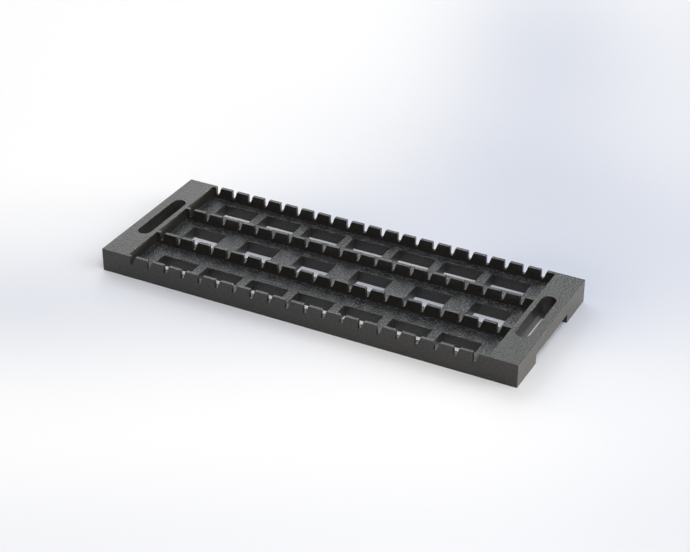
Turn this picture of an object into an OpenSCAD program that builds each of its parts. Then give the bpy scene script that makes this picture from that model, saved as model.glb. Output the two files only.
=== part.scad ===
// Tray that holds flat test panels leaning in rows.
// One solid block: a shallow pocket with notched comb walls along it,
// windows through the pocket floor and a hand hole in each end.
// Origin on the ground under the middle of the tray, X along its length.

/* [Block] */
// Length of the tray, end to end
tray_l = 584.2; // [420:0.1:800]
// Width of the tray, front to back
tray_w = 218.2; // [190:0.1:320]
// Height of the tray
tray_h = 32; // [26:0.1:50]

/* [Hand holes] */
// Thickness of the bar outside each hand slot
bar_t = 12.9; // [6:0.1:25]
// Width of each hand slot, along the tray
slot_w = 18.9; // [14:0.1:30]
// Length of each hand slot, across the tray
slot_l = 101.8; // [60:0.1:150]
// Thickness of the web between a hand slot and the pocket
web_t = 6.8; // [3:0.1:20]
// Height of the finger recess under each bar
recess_h = 12.7; // [5:0.1:18]

/* [Pocket] */
// Thickness of the pocket floor
floor_t = 15.9; // [8:0.1:18]
// Thickness of each of the four comb walls
comb_t = 5.1; // [3:0.1:10]
// Width of the channel between the two inner comb walls
middle_channel_w = 67.1; // [50:0.1:90]

/* [Notches] */
// Distance from one notch to the next
notch_pitch = 25.4; // [16:0.1:50]
// Height of wall left between the pocket floor and each notch
notch_sill = 4.6; // [1:0.1:6]
// Width of the flat bottom of each notch
notch_foot_w = 3.5; // [1:0.1:6]
// Lean of the sloping flank of each notch, from the vertical
slope_lean = 20; // [10:0.5:40]
// Full wall left between the pocket's end and the first notch
first_notch_gap = 5.1; // [2:0.1:15]

/* [Windows] */
// Length of each window in the two outer rows
outer_window_l = 53.8; // [20:0.1:80]
// Floor left between the windows of an outer row
outer_window_bar = 12.9; // [6:0.1:40]
// Width of each window in the two outer rows
outer_window_w = 28.4; // [10:0.1:32]
// Floor left between an outer row and the outer wall beside it
outer_window_ledge = 12.3; // [3:0.1:14]
// Length of each window in the middle row
middle_window_l = 50.6; // [20:0.1:80]
// Floor left between the windows of the middle row
middle_window_bar = 32; // [6:0.1:60]
// Width of each window in the middle row
middle_window_w = 38.3; // [10:0.1:45]
// Least floor left between a row of windows and the pocket's ends
window_margin = 19; // [5:0.5:40]

/* [Hidden] */
$fn = 64;
// How far a cutter runs past the face that it opens
past = 1;
// Block of solid material at each end of the pocket
end_block = bar_t + slot_w + web_t;
pocket_l = tray_l - 2 * end_block;
comb_h = tray_h - floor_t;
side_channel_w = (tray_w - middle_channel_w) / 2 - 2 * comb_t;
side_channel_y = (tray_w - side_channel_w) / 2 - comb_t;
notch_depth = comb_h - notch_sill;
notch_top_w = notch_foot_w + notch_depth * tan(slope_lean);
notch_row = pocket_l - first_notch_gap - notch_top_w;
notch_count = floor(notch_row / notch_pitch) + 1;
outer_row_y = tray_w / 2 - comb_t - outer_window_ledge - outer_window_w / 2;

// Windows of one length that fit in a row, with the floor between them
function windows_in_row(length, bar) =
    floor((pocket_l - 2 * window_margin + bar) / (length + bar));

// Solid of the given plan between two heights
module slab(z0, z1) {
    translate([0, 0, z0]) linear_extrude(z1 - z0) children();
}

// Long open channels between the comb walls
module channels() {
    slab(floor_t, tray_h + past) {
        square([pocket_l, middle_channel_w], center = true);
        for (side = [-1, 1])
            translate([0, side * side_channel_y])
                square([pocket_l, side_channel_w], center = true);
    }
}

// Side view of one notch, from the top of its upright flank
module notch_outline() {
    polygon([
        [0, past],
        [0, -notch_depth],
        [notch_foot_w, -notch_depth],
        [notch_top_w + past * tan(slope_lean), past]
    ]);
}

// Notches in line through all the comb walls
module notches() {
    for (i = [0 : notch_count - 1]) {
        x = -pocket_l / 2 + first_notch_gap + i * notch_pitch;
        translate([x, tray_w / 2 + past, tray_h])
            rotate([90, 0, 0])
                linear_extrude(tray_w + 2 * past) notch_outline();
    }
}

// Row of equal windows through the pocket floor, centred on the tray
module window_row(y, length, width, bar) {
    count = windows_in_row(length, bar);
    pitch = length + bar;
    for (i = [0 : count - 1]) {
        x = (i - (count - 1) / 2) * pitch;
        slab(-past, floor_t + past)
            translate([x, y]) square([length, width], center = true);
    }
}

// Plan of a hand slot: a rectangle with round ends
module slot_plan() {
    reach = (slot_l - slot_w) / 2;
    square([slot_w, 2 * reach], center = true);
    for (y = [-reach, reach])
        translate([0, y]) circle(d = slot_w);
}

// Hand hole at the right end: a slot down through the block,
// with a recess under the bar so that the fingers reach round it
module hand_hole() {
    translate([tray_l / 2 - bar_t - slot_w / 2, 0]) {
        slab(-past, tray_h + past) slot_plan();
        slab(-past, recess_h)
            translate([0, -slot_l / 2]) square([bar_t + slot_w / 2 + past, slot_l]);
    }
}

// The whole tray
module tray() {
    color("dimgray") difference() {
        slab(0, tray_h) square([tray_l, tray_w], center = true);
        channels();
        notches();
        for (side = [-1, 1])
            window_row(side * outer_row_y, outer_window_l, outer_window_w, outer_window_bar);
        window_row(0, middle_window_l, middle_window_w, middle_window_bar);
        hand_hole();
        mirror([1, 0, 0]) hand_hole();
    }
}

tray();
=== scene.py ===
import math

import bpy
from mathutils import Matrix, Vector

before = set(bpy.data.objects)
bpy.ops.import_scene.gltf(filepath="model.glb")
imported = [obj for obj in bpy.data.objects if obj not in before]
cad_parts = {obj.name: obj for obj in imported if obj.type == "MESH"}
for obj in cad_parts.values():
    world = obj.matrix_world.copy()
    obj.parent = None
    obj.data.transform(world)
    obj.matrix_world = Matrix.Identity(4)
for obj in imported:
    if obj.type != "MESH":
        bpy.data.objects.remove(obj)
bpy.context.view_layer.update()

# Camera: the angle and distance that the photograph was taken from, in degrees and metres,
# its lens and sensor in millimetres, and how far it sees in metres
CAMERA_AZIMUTH = 27.618
CAMERA_ELEVATION = 31.053
CAMERA_DISTANCE = 2.2193
CAMERA_TARGET = Vector((-0.0050, 0.0235, 0.0))
CAMERA_LENS = 88.99
CAMERA_SENSOR = 36.0
CAMERA_REACH = 100.0

# Tray: the rounding of its moulded edges in metres, and how far its mesh is cleaned first
EDGE_RADIUS = 0.0004
EDGE_SEGMENTS = 2
EDGE_ANGLE = math.radians(30.0)
WELD_DISTANCE = 0.00001
FLAT_ANGLE = math.radians(0.5)

# Relief of the plastic: coarse and fine grains to the metre, their detail, the share of the
# coarse ones, the height in metres, and the share of the height on upright faces
COARSE_GRAIN = 400.0
FINE_GRAIN = 900.0
GRAIN_DETAIL = 1.0
COARSE_SHARE = 0.65
GRAIN_RELIEF = 0.0014
UPRIGHT_RELIEF = 0.5

# Cloudiness of the plastic: clouds to the metre, their detail, and how much the relief and
# the clouds change the black around the middle value of a noise
CLOUD_GRAIN = 24.0
CLOUD_DETAIL = 3.0
NOISE_MIDDLE = 0.5
RELIEF_TINT = 3.0
CLOUD_TINT = 0.4

# Blacks, the darkest and the palest, on upright faces and on rubbed edges, and one black for
# the top and one for the pocket, which lie under the painted glints
SIDE_BLACKS = (0.0250, 0.0238, 0.0220, 1.0), (0.0428, 0.0407, 0.0376, 1.0)
EDGE_BLACKS = (0.0355, 0.0343, 0.0327, 1.0), (0.0515, 0.0500, 0.0480, 1.0)
TOP_BLACK = (0.0232, 0.0234, 0.0239, 1.0)
POCKET_BLACK = (0.0150, 0.0154, 0.0162, 1.0)

# Sheen of the faces and of the rubbed edges, and how much the clouds change it
SIDE_ROUGHNESS = 0.28
EDGE_ROUGHNESS = 0.24
CLOUD_ROUGHNESS = 0.04
PLASTIC_IOR = 1.45

# Painted glints, pale specks on the level faces that stand in for light glinting off them:
# specks to the metre, their detail, how much stays clear, how hard their outline is, their
# colour, and their share on the top
GLINT_GRAIN = 560.0
GLINT_DETAIL = 0.0
GLINT_CLEAR = 0.62
GLINT_OUTLINE = 12.0
PAINTED_GLINT_COLOUR = (0.172, 0.184, 0.201, 1.0)
GLINT_ON_TOP = 0.45

# A face is level where its normal rises by more than this, and a level face belongs to the
# pocket where it lies under this height in metres
LEVEL_FACING = 0.5
POCKET_UNDER = 0.031

# Floor: half its side in metres, its white paint and the lavender of painted shade and painted
# reflection, and the soft patches of that lavender: centre, turn in degrees, spread along and
# across in metres, strength
FLOOR_REACH = 60.0
FLOOR_WHITE = (0.907, 0.902, 0.918, 1.0)
FLOOR_SHADE_AND_REFLECTION = (0.558, 0.587, 0.689, 1.0)
SHADE_AND_REFLECTION_PATCHES = [
    # In front of the left corner
    (-0.36, -0.24, 5.0, 0.12, 0.10, 0.43),
    # Painted shade under the tray, seen through the windows
    (0.23, 0.08, 5.0, 0.09, 0.09, 0.70),
    (-0.11, 0.02, 55.0, 0.15, 0.12, 0.87),
    (0.14, -0.02, -20.0, 0.11, 0.03, 0.58),
    # Behind the tray: close to it, further off, and the long streak that runs away from it
    (0.18, 0.30, 75.0, 0.16, 0.27, 0.50),
    (-0.03, 0.79, 20.0, 0.14, 0.38, 0.72),
    (0.27, 0.86, 15.0, 0.12, 1.20, 0.38),
    # The long streak across the front, strongest at the left
    (-1.20, -1.30, 30.0, 1.80, 0.11, 0.36),
]

# Backdrop: the white that the floor fades to, where that starts and how long it takes, in
# metres from the middle of the tray
BACKDROP_WHITE = (1.0, 1.0, 1.0, 1.0)
BACKDROP_STRENGTH = 1.0
FADE_START = 3.0
FADE_LENGTH = 3.0

# Lamps: name, direction round the tray from +X and height in degrees, width and height in
# metres, power in watts, colour. The one under the floor lights it from below
LAMP_DISTANCE = 9.0
LAMPS = [
    ("right_box", 10.0, 38.0, 5.0, 5.0, 260.0, (0.92, 0.95, 1.00)),
    ("right_strip", 25.0, 2.0, 4.5, 0.6, 1330.0, (1.00, 0.93, 0.72)),
    ("back_box", 110.0, 38.0, 5.0, 5.0, 210.0, (0.94, 0.99, 1.00)),
    ("low_back_box", 120.0, 15.0, 4.4, 4.4, 100.0, (1.00, 1.00, 0.94)),
    ("left_back_box", 150.0, 38.0, 5.0, 5.0, 202.0, (0.97, 0.97, 1.00)),
    ("front_box", 315.0, 62.0, 5.0, 5.0, 539.0, (1.00, 0.98, 0.93)),
    ("under_box", 300.0, -50.0, 5.0, 5.0, 500.0, (1.00, 1.00, 1.00)),
]
SKY_COLOUR = (0.90, 0.95, 1.00, 1.0)
SKY_STRENGTH = 0.078


class Wire:
    """An output socket of a material, on which Python's operators add Math nodes."""

    def __init__(self, shader, socket):
        self.shader = shader
        self.socket = socket

    def maths(self, operation, *values):
        return self.shader.node("ShaderNodeMath", {"operation": operation}, *values)

    def __add__(self, other):
        return self.maths("ADD", self, other)

    __radd__ = __add__

    def __sub__(self, other):
        return self.maths("SUBTRACT", self, other)

    def __rsub__(self, other):
        return self.maths("SUBTRACT", other, self)

    def __mul__(self, other):
        return self.maths("MULTIPLY", self, other)

    __rmul__ = __mul__

    def __gt__(self, other):
        return self.maths("GREATER_THAN", self, other)

    def __lt__(self, other):
        return self.maths("LESS_THAN", self, other)

    def exp(self):
        return self.maths("EXPONENT", self)

    def clipped(self):
        """Held between 0 and 1."""
        return self.shader.node("ShaderNodeClamp", None, self)


class Shader:
    """A material, or the world, that is built node by node."""

    def __init__(self, owner):
        owner.use_nodes = True
        self.tree = owner.node_tree
        self.tree.nodes.clear()

    def node(self, kind, settings=None, *values, output=0, **named):
        """Adds a node: its settings first, then its sockets by place or by name.

        Gives back the output that is asked for by place or by name.
        """
        node = self.tree.nodes.new(kind)
        for name, setting in (settings or {}).items():
            setattr(node, name, setting)
        for place, value in enumerate(values):
            self.feed(node.inputs[place], value)
        for name, value in named.items():
            socket = next(
                socket for socket in node.inputs
                if socket.enabled and socket.name == name.replace("_", " ")
            )
            self.feed(socket, value)
        return Wire(self, node.outputs[output]) if node.outputs else None

    def feed(self, socket, value):
        if isinstance(value, Wire):
            self.tree.links.new(value.socket, socket)
        else:
            socket.default_value = value

    def mix(self, factor, first, second):
        """From the first colour at a factor of 0 to the second at 1."""
        return self.node(
            "ShaderNodeMix", {"data_type": "RGBA"}, output=2, Factor=factor, A=first, B=second
        )

    def noise(self, place, grain, detail):
        return self.node("ShaderNodeTexNoise", Vector=place, Scale=grain, Detail=detail)

    def height(self, vector):
        return self.node("ShaderNodeSeparateXYZ", None, vector, output="Z")

    def place(self):
        """Where a point lies on the object, in metres."""
        return self.node("ShaderNodeTexCoord", output="Object")

    def ray(self, kind):
        """1 for rays of a kind, 0 for others."""
        return self.node("ShaderNodeLightPath", output=kind)


def camera():
    """Puts the camera where the photograph was taken from."""
    azimuth = math.radians(CAMERA_AZIMUTH)
    elevation = math.radians(CAMERA_ELEVATION)
    back = Vector((
        math.sin(azimuth) * math.cos(elevation),
        -math.cos(azimuth) * math.cos(elevation),
        math.sin(elevation),
    ))
    data = bpy.data.cameras.new("camera")
    data.lens = CAMERA_LENS
    data.sensor_width = CAMERA_SENSOR
    data.clip_end = CAMERA_REACH
    made = bpy.data.objects.new("camera", data)
    made.location = CAMERA_TARGET + CAMERA_DISTANCE * back
    made.rotation_mode = "QUATERNION"
    made.rotation_quaternion = (-back).to_track_quat("-Z", "Y")
    bpy.context.scene.collection.objects.link(made)
    bpy.context.scene.camera = made


def sanded_plastic(name, blacks, roughness):
    """Black plastic from a sandblasted mould, with pale specks of painted glint on the faces
    that look up.
    """
    material = bpy.data.materials.new(name)
    shader = Shader(material)
    facing = shader.node("ShaderNodeTexCoord", output="Normal")
    place = shader.place()
    level = shader.height(facing) > LEVEL_FACING
    pocket = level * (shader.height(place) < POCKET_UNDER)

    relief = (
        shader.noise(place, COARSE_GRAIN, GRAIN_DETAIL) * COARSE_SHARE
        + shader.noise(place, FINE_GRAIN, GRAIN_DETAIL) * (1.0 - COARSE_SHARE)
    )
    cloud = shader.noise(place, CLOUD_GRAIN, CLOUD_DETAIL)
    tint = (
        (relief - NOISE_MIDDLE) * RELIEF_TINT
        + (cloud - NOISE_MIDDLE) * CLOUD_TINT
        + NOISE_MIDDLE
    )
    bare = shader.mix(level, shader.mix(tint, *blacks), TOP_BLACK)
    bare = shader.mix(pocket, bare, POCKET_BLACK)

    # Pale specks on the level faces, fullest in the pocket: painted glints of light from above
    grain = shader.noise(place, GLINT_GRAIN, GLINT_DETAIL)
    painted_glints = ((grain - GLINT_CLEAR) * GLINT_OUTLINE).clipped()
    glint_cover = painted_glints * (level * GLINT_ON_TOP + pocket * (1.0 - GLINT_ON_TOP))

    bump = shader.node(
        "ShaderNodeBump",
        Height=relief * (UPRIGHT_RELIEF + level * (1.0 - UPRIGHT_RELIEF)),
        Distance=GRAIN_RELIEF,
        Strength=1.0,
    )
    finish = shader.node(
        "ShaderNodeBsdfPrincipled",
        Base_Color=shader.mix(glint_cover, bare, PAINTED_GLINT_COLOUR),
        Roughness=roughness + cloud * CLOUD_ROUGHNESS,
        IOR=PLASTIC_IOR,
        Normal=bump,
    )
    shader.node("ShaderNodeOutputMaterial", Surface=finish)
    return material


def studio_floor():
    """White paint with soft lavender patches of painted shade and painted reflection, which is
    plain white far from the tray.
    """
    material = bpy.data.materials.new("studio_floor")
    shader = Shader(material)
    place = shader.place()

    # Each patch of painted shade and painted reflection fades as a bell curve
    tint = 0.0
    for x, y, turn, along, across, strength in SHADE_AND_REFLECTION_PATCHES:
        patch = shader.node(
            "ShaderNodeMapping",
            {"vector_type": "TEXTURE"},
            Vector=place,
            Location=(x, y, 0.0),
            Rotation=(0.0, 0.0, math.radians(turn)),
            Scale=(along, across, 1.0),
        )
        square = shader.node(
            "ShaderNodeVectorMath", {"operation": "DOT_PRODUCT"}, patch, patch, output="Value"
        )
        tint = tint + strength * (square * -0.5).exp()
    paint = shader.node(
        "ShaderNodeBsdfDiffuse", Color=shader.mix(tint, FLOOR_WHITE, FLOOR_SHADE_AND_REFLECTION)
    )

    away = shader.node("ShaderNodeVectorMath", {"operation": "LENGTH"}, place, output="Value")
    far = ((away - FADE_START) * (1.0 / FADE_LENGTH)).clipped()
    seen = shader.ray("Is Camera Ray") + shader.ray("Is Glossy Ray")
    seen = (seen + shader.ray("Is Transmission Ray")).clipped()
    backdrop = shader.node(
        "ShaderNodeEmission", Color=BACKDROP_WHITE, Strength=BACKDROP_STRENGTH
    )
    surface = shader.node("ShaderNodeMixShader", None, far * seen, paint, backdrop)
    shader.node("ShaderNodeOutputMaterial", Surface=surface)
    return material


def lay_floor():
    """One flat square that the tray stands on."""
    mesh = bpy.data.meshes.new("floor")
    corners = [
        (-FLOOR_REACH, -FLOOR_REACH, 0.0),
        (FLOOR_REACH, -FLOOR_REACH, 0.0),
        (FLOOR_REACH, FLOOR_REACH, 0.0),
        (-FLOOR_REACH, FLOOR_REACH, 0.0),
    ]
    mesh.from_pydata(corners, [], [(0, 1, 2, 3)])
    mesh.materials.append(studio_floor())
    floor = bpy.data.objects.new("floor", mesh)
    bpy.context.scene.collection.objects.link(floor)


def soft_box(name, turn, height, width, tall, power, colour):
    """A lamp with a wide, soft face that looks at the tray."""
    turn = math.radians(turn)
    height = math.radians(height)
    away = Vector((
        math.cos(turn) * math.cos(height),
        math.sin(turn) * math.cos(height),
        math.sin(height),
    ))
    data = bpy.data.lights.new(name, "AREA")
    data.shape = "RECTANGLE"
    data.size = width
    data.size_y = tall
    data.energy = power
    data.color = colour
    lamp = bpy.data.objects.new(name, data)
    lamp.location = LAMP_DISTANCE * away
    lamp.rotation_mode = "QUATERNION"
    lamp.rotation_quaternion = (-away).to_track_quat("-Z", "Y")
    bpy.context.scene.collection.objects.link(lamp)


def studio_light():
    """A dim, even sky and the lamps."""
    world = bpy.data.worlds.new("studio")
    bpy.context.scene.world = world
    shader = Shader(world)
    sky = shader.node("ShaderNodeBackground", Color=SKY_COLOUR, Strength=SKY_STRENGTH)
    shader.node("ShaderNodeOutputWorld", Surface=sky)
    for lamp in LAMPS:
        soft_box(*lamp)


def mould_tray():
    """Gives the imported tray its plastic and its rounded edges, which are rubbed brighter."""
    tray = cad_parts["tray"]
    plastic = sanded_plastic("sanded_black_plastic", SIDE_BLACKS, SIDE_ROUGHNESS)
    rubbed = sanded_plastic("rubbed_black_plastic", EDGE_BLACKS, EDGE_ROUGHNESS)
    tray.data.materials.clear()
    tray.data.materials.append(plastic)
    tray.data.materials.append(rubbed)
    weld = tray.modifiers.new("weld", "WELD")
    weld.merge_threshold = WELD_DISTANCE
    flat = tray.modifiers.new("flat", "DECIMATE")
    flat.decimate_type = "DISSOLVE"
    flat.angle_limit = FLAT_ANGLE
    edge = tray.modifiers.new("edge", "BEVEL")
    edge.width = EDGE_RADIUS
    edge.segments = EDGE_SEGMENTS
    edge.limit_method = "ANGLE"
    edge.angle_limit = EDGE_ANGLE
    edge.material = tray.data.materials.find(rubbed.name)
    edge.use_clamp_overlap = False
    edge.harden_normals = False


bpy.context.scene.view_settings.view_transform = "Standard"
camera()
studio_light()
lay_floor()
mould_tray()
